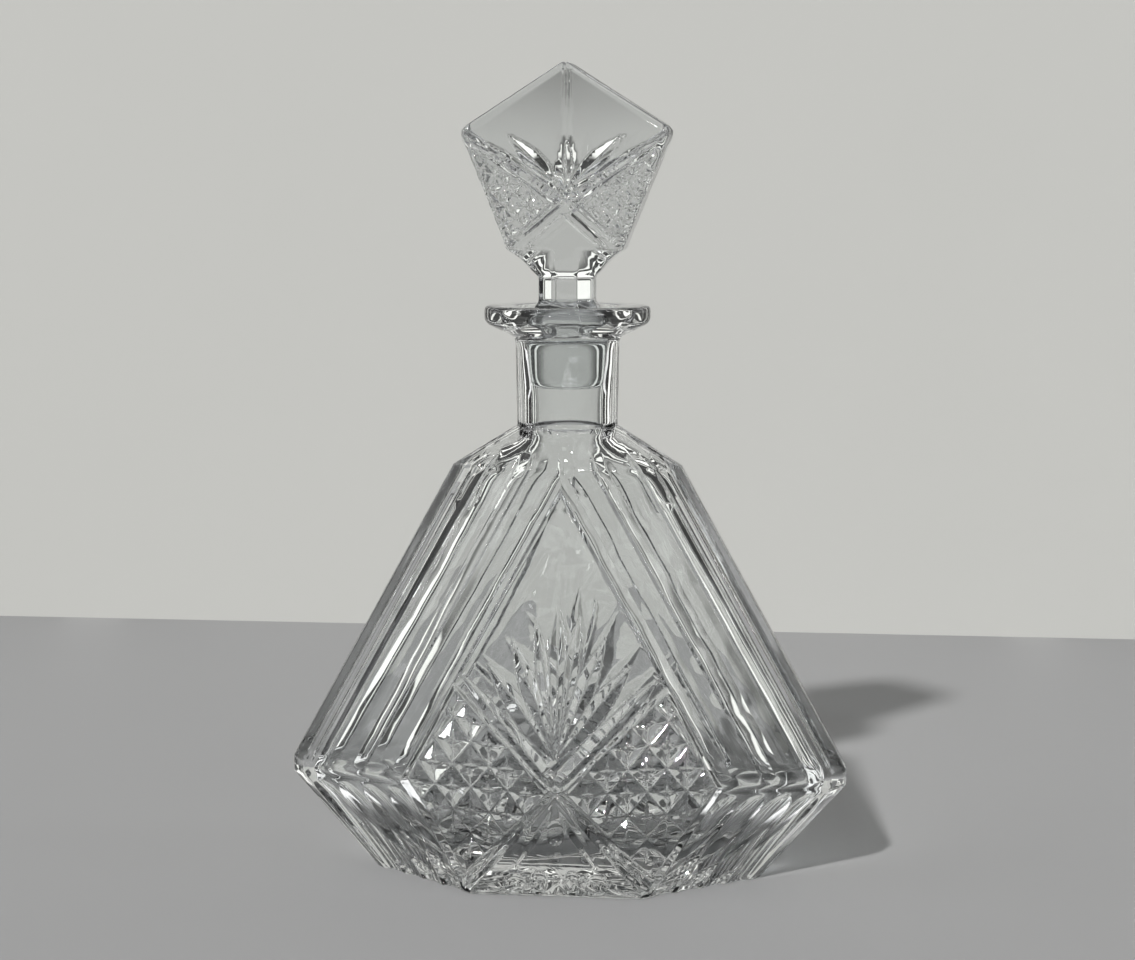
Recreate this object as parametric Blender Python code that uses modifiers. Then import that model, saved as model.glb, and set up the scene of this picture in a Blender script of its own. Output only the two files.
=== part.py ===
"""Clear glass wine decanter with a lift-out stopper.

Frame: metres, +Z up, origin at the centre of the base's underside, pattern faces towards -Y and +Y.
The decanter is one hollow moulding, and the stopper is one solid moulding seated in its neck.
"""

import bpy
import bmesh
from math import cos, pi, radians, sin, sqrt, tau
from mathutils import Matrix, Vector

MM = 0.001

# Heights of the body, from the table up
BELT_LOW = 31 * MM
BELT_HIGH = 36 * MM
SHOULDER = 131 * MM
NECK_FOOT = 143 * MM
LIP_FOOT = 172 * MM
LIP_TOP = 181 * MM

# Half-widths of the body, and how far the middle of its pattern face stands forward
BASE_HALF_WIDTH = 61.5 * MM
BELT_HALF_WIDTH = 88.5 * MM
SHOULDER_HALF_WIDTH = 36 * MM
NECK_FOOT_RADIUS = 17 * MM
BASE_FRONT = 31.5 * MM
BELT_FRONT = 33 * MM
SHOULDER_FRONT = 19 * MM
BELT_ROUNDING = 5 * MM
SHOULDER_ROUNDING = 16 * MM

# The flat triangle below the belt: its half-width at the base and near its point
FACET_FOOT = 27.5 * MM
FACET_POINT = 1 * MM

# The side edge of the plan: a bevel from the pattern face to a narrow flat
EDGE_BEVEL = 5 * MM
EDGE_FACE_DEPTH = 9.5 * MM
EDGE_FLAT = 3 * MM
BASE_EDGE_BEVEL = 3 * MM
BASE_EDGE_FACE_DEPTH = 5 * MM
BASE_EDGE_FLAT = 1.5 * MM

# Neck and lip
NECK_TOP_RADIUS = 16.3 * MM
NECK_BOTTOM_RADIUS = 15.8 * MM
NECK_FILLET = 1.2 * MM
NECK_ROOT_DEPTH = 6 * MM
LIP_RADIUS = 26 * MM
LIP_RIM = 3.5 * MM
LIP_ROUNDING = 1.5 * MM

# Inside
WALL = 5.5 * MM
SIDE_WALL = 8 * MM
FLOOR = 9 * MM
CAVITY_CORNER = 2.5 * MM
CAVITY_SHOULDER = 127 * MM
CAVITY_TOP = 140 * MM
BORE_ROOT_RADIUS = 11.2 * MM
BORE_FOOT_TAPER = 0.4 * MM
BORE_OVERLAP = 8 * MM
BORE_MOUTH = 1.4 * MM
CUT_MARGIN = 4 * MM
CLEARANCE = 0.3 * MM

# Upper flutes, as (near side, far side, depth), measured in from the side of the pattern face
UPPER_FLUTES = (
    (0.5 * MM, 3.0 * MM, 0.3 * MM),
    (3.4 * MM, 8.0 * MM, 0.6 * MM),
    (8.4 * MM, 16.2 * MM, 0.7 * MM),
    (16.6 * MM, 21.4 * MM, 0.6 * MM),
    (21.8 * MM, 34.6 * MM, 0.7 * MM),
)
UPPER_FLUTE_START = 42 * MM
UPPER_FLUTE_END = 127 * MM

# Lower flutes, evenly spaced across the fluted part of the face
LOWER_FLUTE_COUNT = 4
LOWER_FLUTE_PITCH = 8.4 * MM
LOWER_FLUTE_DEPTH = 1.3 * MM
LOWER_FLUTE_END = 27 * MM
LOWER_FLUTE_LAND = 0.4 * MM

# Stopper, measured from the underside of its plug
PLUG_BOTTOM_RADIUS = 11.3 * MM
PLUG_TOP_RADIUS = 13.5 * MM
PLUG_LENGTH = 21.5 * MM
PLUG_RIM = 1 * MM
PLUG_ROUNDING = 1.4 * MM
COLLAR_INSET = 0.4 * MM
COLLAR_START = 27 * MM
COLLAR_END = 34 * MM
COLLAR_RADIUS = 9.4 * MM
COLLAR_FLARE = 2 * MM
COLLAR_FLARE_HEIGHT = 2.5 * MM
COLLAR_FACETS = 8
HEAD_FOOT = 43 * MM
HEAD_FOOT_HALF_WIDTH = 18 * MM
HEAD_CORNER = 80 * MM
HEAD_CORNER_HALF_WIDTH = 33 * MM
HEAD_TOP = 101 * MM
HEAD_THICKNESS = 20 * MM
HEAD_BEVEL = 1.3 * MM
SEAT_BELOW_LIP = 4 * MM

# How finely curves are cut
TURNED_STEPS = 64
FACE_STEPS = 14
FLUTE_SIDES = 40

STOPPER_SEAT = LIP_TOP - SEAT_BELOW_LIP - PLUG_LENGTH

# Half-width, front, rounding, edge bevel, edge face depth and edge flat at three levels
BASE_PLAN = (BASE_HALF_WIDTH, BASE_FRONT, 0.0, BASE_EDGE_BEVEL, BASE_EDGE_FACE_DEPTH, BASE_EDGE_FLAT)
BELT_PLAN = (BELT_HALF_WIDTH, BELT_FRONT, BELT_ROUNDING, EDGE_BEVEL, EDGE_FACE_DEPTH, EDGE_FLAT)
SHOULDER_PLAN = (SHOULDER_HALF_WIDTH, SHOULDER_FRONT, SHOULDER_ROUNDING,
                 EDGE_BEVEL, EDGE_FACE_DEPTH, EDGE_FLAT)


def clear_scene():
    for obj in list(bpy.data.objects):
        bpy.data.objects.remove(obj, do_unlink=True)


def collection(name, hidden=False):
    made = bpy.data.collections.new(name)
    made.hide_render = hidden
    bpy.context.scene.collection.children.link(made)
    return made


def glass(name, tint):
    material = bpy.data.materials.new(name)
    material.use_nodes = True
    shader = material.node_tree.nodes["Principled BSDF"]
    shader.inputs["Base Color"].default_value = tint
    shader.inputs["Roughness"].default_value = 0.03
    shader.inputs["Metallic"].default_value = 0.0
    shader.inputs["IOR"].default_value = 1.52
    shader.inputs["Transmission Weight"].default_value = 1.0
    return material


def add_object(name, mesh, into):
    obj = bpy.data.objects.new(name, mesh)
    into.objects.link(obj)
    return obj


def add_cutter(name, mesh, into):
    obj = add_object(name, mesh, into)
    obj.hide_render = True
    obj.display_type = "WIRE"
    return obj


def mesh_of(name, shape):
    bmesh.ops.recalc_face_normals(shape, faces=shape.faces)
    mesh = bpy.data.meshes.new(name)
    shape.to_mesh(mesh)
    shape.free()
    return mesh


def loft(name, rings):
    """A closed solid through rings of equal length, listed from the bottom up."""
    shape = bmesh.new()
    rows = [[shape.verts.new(point) for point in ring] for ring in rings]
    count = len(rings[0])
    for low, high in zip(rows, rows[1:]):
        for i in range(count):
            j = (i + 1) % count
            shape.faces.new((low[i], low[j], high[j], high[i]))
    shape.faces.new(list(reversed(rows[0])))
    shape.faces.new(rows[-1])
    return mesh_of(name, shape)


def turned(name, profile, into):
    """A hidden tool: (radius, height) points, from the top down the outer side, turned about Z."""
    mesh = bpy.data.meshes.new(name)
    points = [(radius, 0, height) for radius, height in profile]
    mesh.from_pydata(points, [(i, i + 1) for i in range(len(points) - 1)], [])
    obj = add_cutter(name, mesh, into)
    screw = obj.modifiers.new("turn", "SCREW")
    screw.steps = TURNED_STEPS
    screw.render_steps = TURNED_STEPS
    screw.use_merge_vertices = True
    screw.merge_threshold = 0.01 * MM
    return obj


def boolean(obj, operation, other):
    modifier = obj.modifiers.new(other.name, "BOOLEAN")
    modifier.operation = operation
    modifier.solver = "EXACT"
    modifier.object = other


def between(low, high, share):
    return low + (high - low) * share


def from_ridge(x, rounding):
    """Distance from the ridge down the middle of the face, rounded off near it."""
    return sqrt(x * x + rounding * rounding) - rounding


def plan(height):
    """The plan's six measures at a height, straight lines from the base to the belt to the shoulder."""
    if height <= BELT_LOW:
        low, high, share = BASE_PLAN, BELT_PLAN, height / BELT_LOW
    else:
        low, high, share = BELT_PLAN, SHOULDER_PLAN, max(0, (height - BELT_HIGH) / (SHOULDER - BELT_HIGH))
    return [between(a, b, share) for a, b in zip(low, high)]


def facet_half_width(height):
    return between(FACET_FOOT, FACET_POINT, min(1, height / BELT_LOW))


def face_depth(x, height):
    """How far the pattern face stands in front of the middle plane."""
    half_width, front, rounding, bevel, edge_depth, _ = plan(height)
    reach = half_width - bevel
    if height <= BELT_LOW:
        facet = facet_half_width(height)
        share = max(0, x - facet) / (reach - facet)
    else:
        share = from_ridge(x, rounding) / from_ridge(reach, rounding)
    return between(front, edge_depth, share)


def four_fold(quadrant, height):
    """A whole ring from the (x, y) points of one quadrant, listed from the front centre to the side."""
    side = quadrant[1:]
    ring = [quadrant[0]] + side
    ring += [(x, -y) for x, y in reversed(side)]
    ring.append((0, -quadrant[0][1]))
    ring += [(-x, -y) for x, y in side]
    ring += [(-x, y) for x, y in reversed(side)]
    return [(x, y, height) for x, y in ring]


def body_ring(height):
    half_width, _, _, bevel, _, flat = plan(height)
    reach = half_width - bevel
    facet = facet_half_width(height)
    quadrant = [(0, -face_depth(0, height))]
    for step in range(FACE_STEPS + 1):
        x = between(facet, reach, step / FACE_STEPS)
        quadrant.append((x, -face_depth(x, height)))
    quadrant.append((half_width, -flat))
    return four_fold(quadrant, height)


def round_ring(radius, height, points):
    quadrant = []
    for step in range(points):
        angle = pi / 2 * step / (points - 0.5)
        quadrant.append((radius * sin(angle), -radius * cos(angle)))
    return four_fold(quadrant, height)


def cavity_ring(height, inset=0.0):
    """The cavity's outline: the outside brought in by the wall, with its ends rounded off."""
    half_width = plan(height)[0] - SIDE_WALL - inset
    quadrant = []
    for step in range(FACE_STEPS + 2):
        x = half_width * sin(pi / 2 * step / (FACE_STEPS + 1.5))
        depth = face_depth(x, height) - WALL - inset
        closing = sqrt(1 - (x / half_width) ** 6)
        quadrant.append((x, -depth * closing))
    return four_fold(quadrant, height)


def build_cavity(into):
    """The wine space, from the thick floor up into the neck, and the tapered bore above it."""
    levels = (FLOOR + CAVITY_CORNER, BELT_LOW, BELT_HIGH, CAVITY_SHOULDER)
    rings = [
        cavity_ring(FLOOR, CAVITY_CORNER),
        cavity_ring(FLOOR + CAVITY_CORNER * 0.3, CAVITY_CORNER * 0.3),
    ]
    rings += [cavity_ring(height) for height in levels]
    rings.append(round_ring(BORE_ROOT_RADIUS, CAVITY_TOP, FACE_STEPS + 2))
    space = add_cutter("cavity", loft("cavity", rings), into)
    seat = LIP_TOP - SEAT_BELOW_LIP
    seat_radius = PLUG_TOP_RADIUS + CLEARANCE
    top = LIP_TOP + CUT_MARGIN
    bore = turned("bore", (
        (0, top),
        (seat_radius + top - seat - BORE_MOUTH, top),
        (seat_radius, seat + BORE_MOUTH),
        (seat_radius, seat),
        (PLUG_BOTTOM_RADIUS + CLEARANCE, STOPPER_SEAT),
        (BORE_ROOT_RADIUS, STOPPER_SEAT - CUT_MARGIN),
        (BORE_ROOT_RADIUS - BORE_FOOT_TAPER, CAVITY_TOP - BORE_OVERLAP),
        (0, CAVITY_TOP - BORE_OVERLAP),
    ), into)
    return [space, bore]


def on_face(inset, height):
    """The point of the front face at this inset from the face's side edge."""
    half_width, _, _, bevel, _, _ = plan(height)
    x = half_width - bevel - inset
    return Vector((x, -face_depth(x, height), height))


def groove(name, near, far, low, high, depth, into):
    """Four long round bars, one for each quarter of the body, that cut one flute each.

    near and far are the flute's insets from the side of the face, at its low and its high end."""
    sides = [[on_face(inset, height) for inset, height in zip(ends, (low, high))] for ends in (near, far)]
    start = (sides[0][0] + sides[1][0]) / 2
    end = (sides[0][1] + sides[1][1]) / 2
    along = (end - start).normalized()
    across = (sides[0][0] + sides[0][1] - sides[1][0] - sides[1][1]) / 2
    across -= along * across.dot(along)
    width = across.length
    outward = along.cross(across).normalized()
    if outward.y > 0:
        outward.negate()
    radius = (width * width / 4 + depth * depth) / (2 * depth)
    centre = (start + end) / 2 + outward * (radius - depth)
    bars = []
    for flip in (Vector((1, 1, 1)), Vector((-1, 1, 1)), Vector((1, -1, 1)), Vector((-1, -1, 1))):
        turn = Vector((0, 0, 1)).rotation_difference(along * flip).to_matrix().to_4x4()
        shape = bmesh.new()
        bmesh.ops.create_cone(shape, segments=FLUTE_SIDES, radius1=radius, radius2=radius,
                              depth=(end - start).length, cap_ends=True,
                              matrix=Matrix.Translation(centre * flip) @ turn)
        bars.append(add_cutter(name, mesh_of(name, shape), into))
    return bars


def build_flutes(into):
    made = []
    for near, far, depth in UPPER_FLUTES:
        made += groove("upper_flute", (near, near), (far, far),
                       UPPER_FLUTE_START, UPPER_FLUTE_END, depth, into)
    base_share = (BASE_HALF_WIDTH - FACET_FOOT) / (LOWER_FLUTE_COUNT * LOWER_FLUTE_PITCH + EDGE_BEVEL)
    for number in range(LOWER_FLUTE_COUNT):
        near = LOWER_FLUTE_PITCH * number + LOWER_FLUTE_LAND
        far = LOWER_FLUTE_PITCH * (number + 1) - LOWER_FLUTE_LAND
        made += groove("lower_flute", (near * base_share, near), (far * base_share, far),
                       0.0, LOWER_FLUTE_END, LOWER_FLUTE_DEPTH, into)
    return made


def build_neck(into):
    return turned("neck_and_lip", (
        (0, LIP_TOP),
        (LIP_RADIUS - LIP_ROUNDING, LIP_TOP),
        (LIP_RADIUS, LIP_TOP - LIP_ROUNDING),
        (LIP_RADIUS, LIP_TOP - LIP_ROUNDING - LIP_RIM),
        (NECK_TOP_RADIUS + NECK_FILLET, LIP_FOOT),
        (NECK_TOP_RADIUS, LIP_FOOT - NECK_FILLET),
        (NECK_BOTTOM_RADIUS, NECK_FOOT),
        (NECK_BOTTOM_RADIUS, NECK_FOOT - NECK_ROOT_DEPTH),
        (0, NECK_FOOT - NECK_ROOT_DEPTH),
    ), into)


def build_body(parts, tools):
    rings = [body_ring(height) for height in (0.0, BELT_LOW, BELT_HIGH, SHOULDER)]
    rings.append(round_ring(NECK_FOOT_RADIUS, NECK_FOOT, FACE_STEPS + 3))
    body = add_object("decanter_body", loft("decanter_body", rings), parts)
    boolean(body, "UNION", build_neck(tools))
    for tool in build_flutes(tools) + build_cavity(tools):
        boolean(body, "DIFFERENCE", tool)
    body.data.materials.append(glass("body_glass", (0.97, 0.985, 0.98, 1)))


def facet_ring(radius, height, scale_x=1.0, scale_y=1.0):
    """A regular polygon with a flat side to the front, stretched if asked."""
    ring = []
    for corner in range(COLLAR_FACETS):
        angle = tau * (corner + 0.5) / COLLAR_FACETS
        ring.append((radius * sin(angle) * scale_x, -radius * cos(angle) * scale_y, height))
    return ring


def build_collar(into):
    """The faceted waist between the plug and the head, flaring into the underside of the head."""
    rim = PLUG_TOP_RADIUS - COLLAR_INSET
    half_facet = 0.5 * tau / COLLAR_FACETS
    scale_x = (HEAD_FOOT_HALF_WIDTH - HEAD_BEVEL) / cos(half_facet)
    scale_y = (HEAD_THICKNESS / 2 - HEAD_BEVEL) / cos(half_facet)
    return add_cutter("collar", loft("collar", (
        facet_ring(rim, PLUG_LENGTH - PLUG_RIM),
        facet_ring(rim, PLUG_LENGTH + COLLAR_INSET),
        facet_ring(COLLAR_RADIUS, COLLAR_START),
        facet_ring(COLLAR_RADIUS, COLLAR_END),
        facet_ring(COLLAR_RADIUS + COLLAR_FLARE, COLLAR_END + COLLAR_FLARE_HEIGHT),
        facet_ring(1.0, HEAD_FOOT + HEAD_BEVEL, scale_x, scale_y),
    )), into)


def build_plug(into):
    return turned("plug", (
        (0, PLUG_LENGTH),
        (PLUG_TOP_RADIUS, PLUG_LENGTH),
        (PLUG_TOP_RADIUS, PLUG_LENGTH - PLUG_RIM),
        (PLUG_BOTTOM_RADIUS, PLUG_ROUNDING),
        (PLUG_BOTTOM_RADIUS - 0.4 * PLUG_ROUNDING, 0.4 * PLUG_ROUNDING),
        (PLUG_BOTTOM_RADIUS - PLUG_ROUNDING, 0),
        (0, 0),
    ), into)


def head_mesh():
    """The five-sided slab, from a flat outline with thickness."""
    outline = (
        (0, HEAD_TOP),
        (HEAD_CORNER_HALF_WIDTH, HEAD_CORNER),
        (HEAD_FOOT_HALF_WIDTH, HEAD_FOOT),
        (-HEAD_FOOT_HALF_WIDTH, HEAD_FOOT),
        (-HEAD_CORNER_HALF_WIDTH, HEAD_CORNER),
    )
    curve = bpy.data.curves.new("head_outline", "CURVE")
    curve.dimensions = "2D"
    curve.fill_mode = "BOTH"
    curve.extrude = HEAD_THICKNESS / 2
    line = curve.splines.new("POLY")
    line.points.add(len(outline) - 1)
    for point, (x, z) in zip(line.points, outline):
        point.co = (x, z, 0, 1)
    line.use_cyclic_u = True
    drawn = add_object("head_outline", curve, bpy.context.scene.collection)
    drawn.rotation_euler.x = radians(90)
    bpy.context.view_layer.update()
    graph = bpy.context.evaluated_depsgraph_get()
    flat = bpy.data.meshes.new_from_object(drawn.evaluated_get(graph))
    flat.transform(drawn.matrix_world)
    bpy.data.objects.remove(drawn, do_unlink=True)
    shape = bmesh.new()
    shape.from_mesh(flat)
    bmesh.ops.remove_doubles(shape, verts=shape.verts, dist=0.01 * MM)
    bmesh.ops.dissolve_limit(shape, angle_limit=radians(1), verts=shape.verts, edges=shape.edges)
    return mesh_of("stopper", shape)


def build_stopper(parts, tools):
    stopper = add_object("stopper", head_mesh(), parts)
    bevel = stopper.modifiers.new("edges", "BEVEL")
    bevel.width = HEAD_BEVEL
    bevel.segments = 2
    pieces = [stopper, build_collar(tools), build_plug(tools)]
    for piece in pieces[1:]:
        boolean(stopper, "UNION", piece)
    for piece in pieces:
        piece.location.z = STOPPER_SEAT
    stopper.data.materials.append(glass("stopper_glass", (0.98, 0.99, 0.985, 1)))


def main():
    clear_scene()
    parts = collection("wine_decanter")
    tools = collection("wine_decanter_cutters", hidden=True)
    build_body(parts, tools)
    build_stopper(parts, tools)


main()
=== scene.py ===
"""Looks of a clear pressed-glass wine decanter with a solid glass stopper.

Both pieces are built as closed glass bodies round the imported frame. A pattern face is a sheet of
cells that divide only where the pressed relief needs them. The back face mirrors the front one,
and rings of points carry each body on through its base, neck, lip, bore and wine space.
Lengths inside the shapes are in millimetres, and those of the studio are in metres.
"""

import bpy
import numpy as np
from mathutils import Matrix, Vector


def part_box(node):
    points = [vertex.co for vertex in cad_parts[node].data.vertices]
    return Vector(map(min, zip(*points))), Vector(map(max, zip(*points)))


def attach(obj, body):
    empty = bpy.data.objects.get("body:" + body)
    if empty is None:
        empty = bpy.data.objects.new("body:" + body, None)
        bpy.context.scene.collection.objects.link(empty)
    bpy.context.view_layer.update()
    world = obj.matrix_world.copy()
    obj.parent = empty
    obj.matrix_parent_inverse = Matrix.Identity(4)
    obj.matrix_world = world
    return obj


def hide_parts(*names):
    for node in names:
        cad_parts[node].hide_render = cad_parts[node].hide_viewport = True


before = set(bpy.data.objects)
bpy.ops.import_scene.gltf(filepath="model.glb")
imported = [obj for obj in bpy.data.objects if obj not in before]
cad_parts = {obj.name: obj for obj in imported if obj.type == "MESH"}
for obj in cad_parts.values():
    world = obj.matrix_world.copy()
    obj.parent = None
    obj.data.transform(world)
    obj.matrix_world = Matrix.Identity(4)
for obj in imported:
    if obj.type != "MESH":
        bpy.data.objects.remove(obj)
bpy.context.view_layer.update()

MM = 0.001
BODY_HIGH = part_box("decanter_body")[1]
STOPPER_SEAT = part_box("stopper")[0].z / MM

# Heights of the body
FOOT_ROUNDING = 0.7
BELT_LOW = 31.0
BELT_HIGH = 36.0
SHOULDER = 131.0
NECK_FOOT = 143.0

# Half-widths and half-depths of the body, as in the solids
BASE_HALF_WIDTH = 61.5
BELT_HALF_WIDTH = BODY_HIGH.x / MM
SHOULDER_HALF_WIDTH = 36.0
NECK_FOOT_RADIUS = 16.8
BASE_FRONT = 31.5
BELT_FRONT = BODY_HIGH.y / MM
SHOULDER_FRONT = 19.0
BELT_ROUNDING = 5.0
SHOULDER_ROUNDING = 16.0
FACET_FOOT = 27.5
FACET_TOP = BELT_LOW + 2.5
EDGE_BEVEL = 5.0
EDGE_FACE_DEPTH = 9.5
EDGE_FLAT = 3.0
BASE_EDGE_BEVEL = 3.0
BASE_EDGE_FACE_DEPTH = 5.0
BASE_EDGE_FLAT = 1.5

# The last division of a cell is made only where it is this many times further off than allowed before
LAST_LEVEL_EASE = 4.2
# Distances between the points that a normal is worked out from, as a share of the width and in millimetres
NORMAL_STEP_ACROSS = 0.0004
NORMAL_STEP_UP = 0.02


# ---------------------------------------------------------------- small helpers

def ease(value, low, high):
    """0 below low, 1 above high, and a smooth step between."""
    t = np.clip((value - low) / (high - low), 0.0, 1.0)
    return t * t * (3 - 2 * t)


def between(low, high, share):
    return low + (high - low) * share


def arc(u):
    """A round hollow over u from 0 to 1, deepest in the middle and nothing outside."""
    return np.clip(1 - (2 * u - 1) ** 2, 0.0, None)


def mitre_cut(x, z, start, end, half_width, slope, blunt, fullness):
    """Depth of a leaf-shaped V cut from start to end. The cut is as deep as it is wide, times slope.

    blunt is how much of the length the widening at the start takes, and a larger fullness keeps
    the far end wide for longer."""
    ax, az = start
    dx, dz = end[0] - ax, end[1] - az
    length = np.hypot(dx, dz)
    along = ((x - ax) * dx + (z - az) * dz) / length**2
    aside = np.abs((x - ax) * dz - (z - az) * dx) / length
    t = np.clip(along, 0.0, 1.0)
    opening = np.sin(np.pi / 2 * np.clip(t / blunt, 0, 1))
    narrowing = np.clip((t - blunt) / (1 - blunt), 0, 1) ** (1 / (1.02 - fullness) ** 0.5)
    width = half_width * opening * np.clip(1 - narrowing, 0, 1)
    return slope * np.clip(width - aside, 0.0, None) * ((along > 0) & (along < 1))


def oval_print(x, z, middle, half_sizes, depth):
    """Depth of a round-bottomed oval pressed into the face."""
    across = (x - middle[0]) / half_sizes[0]
    up = (z - middle[1]) / half_sizes[1]
    return depth * np.sqrt(np.clip(1 - across**2 - up**2, 0, None))


def inside_distance(x, z, corners):
    """Distance inwards from the nearest side of a convex outline, listed anticlockwise."""
    nearest = np.full(np.broadcast(x, z).shape, 1e9)
    for (ax, az), (bx, bz) in zip(corners, corners[1:] + corners[:1]):
        length = np.hypot(bx - ax, bz - az)
        side = ((bx - ax) * (z - az) - (bz - az) * (x - ax)) / length
        nearest = np.minimum(nearest, side)
    return nearest


MINOR_SLOPE = 1.2
FIELD_OUTER_FLANK = 0.45


def diamond_field(x, z, corners, crossing, half_cell, depth, rim, minor):
    """Depth of a field of points between crossing V cuts, ending in a cut along its outline.

    Upright and level cuts run through the same crossings, and minor is how deep they are beside
    the sloping ones."""
    across = (x - crossing[0]) / half_cell[0]
    up = (z - crossing[1]) / half_cell[1]
    first = (across + up) / 2
    second = (across - up) / 2
    first = np.abs(first - np.round(first)) * 2
    second = np.abs(second - np.round(second)) * 2
    upright = np.abs(across - np.round(across)) * 2
    level = np.abs(up - np.round(up)) * 2
    inside = inside_distance(x, z, corners)
    rise = np.minimum(np.minimum(first, second), 1 - minor + MINOR_SLOPE * np.minimum(upright, level))
    rise = np.minimum(rise, np.clip(inside / rim, 0, 1))
    outer_flank = np.clip(1 + inside / (FIELD_OUTER_FLANK * rim), 0, 1)
    return depth * np.where(inside > 0, 1 - rise, outer_flank)


# ---------------------------------------------------------------- the body's plan

def plan(z):
    """Half-width, front, rounding, edge bevel, edge face depth and edge flat of the plan at heights z."""
    low = np.clip(z / BELT_LOW, 0, 1)
    high = np.clip((z - BELT_HIGH) / (SHOULDER - BELT_HIGH), 0, 1)
    sizes = (
        (BASE_HALF_WIDTH, BELT_HALF_WIDTH, SHOULDER_HALF_WIDTH),
        (BASE_FRONT, BELT_FRONT, SHOULDER_FRONT),
        (0.0, BELT_ROUNDING, SHOULDER_ROUNDING),
        (BASE_EDGE_BEVEL, EDGE_BEVEL, EDGE_BEVEL),
        (BASE_EDGE_FACE_DEPTH, EDGE_FACE_DEPTH, EDGE_FACE_DEPTH),
        (BASE_EDGE_FLAT, EDGE_FLAT, EDGE_FLAT),
    )
    return [between(between(base, belt, low), shoulder, high) for base, belt, shoulder in sizes]


def neck_share(z):
    """0 up to the shoulder and 1 at the neck's foot, where the plan is round."""
    return np.clip((z - SHOULDER) / (NECK_FOOT - SHOULDER), 0, 1)


def face_depth(x, z):
    """How far the plain pattern face stands in front of the middle plane, up to the shoulder."""
    half_width, front, rounding, bevel, edge_depth, _ = plan(z)
    reach = half_width - bevel
    facet = FACET_FOOT * np.clip(1 - z / FACET_TOP, 0, 1)
    below = np.clip(x - facet, 0, None) / (reach - facet)
    rounding = np.maximum(rounding, 1.0)
    above = (np.sqrt(x * x + rounding**2) - rounding) / (np.sqrt(reach**2 + rounding**2) - rounding)
    share = between(below, above, ease(z, BELT_LOW, BELT_HIGH))
    return between(front, edge_depth, share)


# ---------------------------------------------------------------- the body's relief

# Bands above the belt, by their inset from the face's side edge
GROOVE_SIDES = ((3.0, 8.0), (16.5, 21.5), (30.0, 35.0))
PANEL_SIDES = ((0.0, 3.0), (8.0, 16.5), (21.5, 30.0))
GROOVE_DEPTH = 1.4
GROOVE_TURN = 0.8
GROOVE_ROUNDING = 0.12
PANEL_DEPTH = 0.35
BANDS_START = (34.0, 38.0)
BANDS_END = (133.5, 137.0)

# Flutes below the belt
LOWER_FLUTES = 4
LOWER_PITCH = 8.4
LOWER_BASE_SHARE = 0.88
LOWER_DEPTH = 1.8
LOWER_TOP = 24.0
LOWER_RUN_OUT = 6.0

# The fan of leaves, as tips and half-widths
CROSSING = (0.0, 34.0)
FAN_ROOT = (0.0, 43.0)
FAN_TIPS = (
    ((0.0, 91.0), 3.3),
    ((6.8, 87.0), 2.6),
    ((14.6, 80.0), 3.4),
    ((22.6, 71.5), 3.4),
)
# V cuts, each as start, end, half-width, slope, blunt and fullness
BODY_CUTS = (
    *((FAN_ROOT, tip, half_width, 0.7, 0.42, 0.8) for tip, half_width in FAN_TIPS),
    (CROSSING, (31.5, 68.0), 3.3, 0.7, 0.12, 0.9),
    ((-0.6, 35.6), (31.2, -1.5), 2.1, 0.6, 0.06, 0.97),
    ((0.0, 30.5), (13.0, 9.0), 1.9, 0.5, 0.5, 0.5),
)
# The field of diamonds, as corners, a crossing of its cuts, half a cell, depth, rim and minor
BODY_FIELD = ([(2.2, 33.0), (29.6, 4.6), (48.6, 32.6), (33.2, 61.8)], (27.6, 31.8), (6.0, 7.2), 2.7, 4.6, 0.5)
# Oval prints, each as middle, half-sizes and depth
OVALS = (
    ((0.0, 20.5), (2.6, 3.9), 1.6),
    ((5.2, 4.6), (2.6, 3.6), 1.1),
    ((12.6, 3.9), (3.4, 3.2), 1.0),
)

# Columns of the mesh
SOFT_EDGE = 0.18
BANDED_WIDTH = 36.0
MIDDLE_COLUMNS = 20
NARROWEST_MIDDLE = 2.0
GROOVE_COLUMN_SHIFT = 0.4
BANDED_COLUMNS_START = (33.0, 36.5)


def band_columns():
    """Insets of the mesh columns over the banded part of the face, with one each side of every crease."""
    creases = [between(near, far, u) for near, far in GROOVE_SIDES for u in (0, GROOVE_TURN, 1)]
    columns = [0.0, PANEL_SIDES[0][1] / 2, BANDED_WIDTH]
    columns += [crease + aside for crease in creases for aside in (-SOFT_EDGE, SOFT_EDGE)]
    columns += [(near + far) / 2 - GROOVE_COLUMN_SHIFT for near, far in GROOVE_SIDES]
    columns += [between(near, far, u) for near, far in PANEL_SIDES[1:] for u in (0.25, 0.5, 0.75)]
    return np.array(sorted(columns))


BAND_COLUMNS = band_columns()
EVEN_COLUMNS = np.linspace(0, BANDED_WIDTH, len(BAND_COLUMNS))
BODY_COLUMNS = 2 * (MIDDLE_COLUMNS + len(BAND_COLUMNS) - 1)


def across_face(side, z, reach):
    """Distance from the middle line for side from 0 to 1. Outer columns keep their inset from the edge."""
    place = np.clip(side, 0, 1) * (BODY_COLUMNS / 2)
    middle = np.maximum(reach - BANDED_WIDTH, NARROWEST_MIDDLE)
    from_edge = np.clip(BODY_COLUMNS / 2 - place, 0, len(BAND_COLUMNS) - 1)
    numbers = np.arange(len(BAND_COLUMNS))
    even = np.interp(from_edge, numbers, EVEN_COLUMNS)
    banded = np.interp(from_edge, numbers, BAND_COLUMNS)
    inset = between(even, banded, ease(z, *BANDED_COLUMNS_START))
    outer = middle + (reach - middle) * (1 - inset / BANDED_WIDTH)
    return np.where(place < MIDDLE_COLUMNS, middle * place / MIDDLE_COLUMNS, outer)


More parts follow.
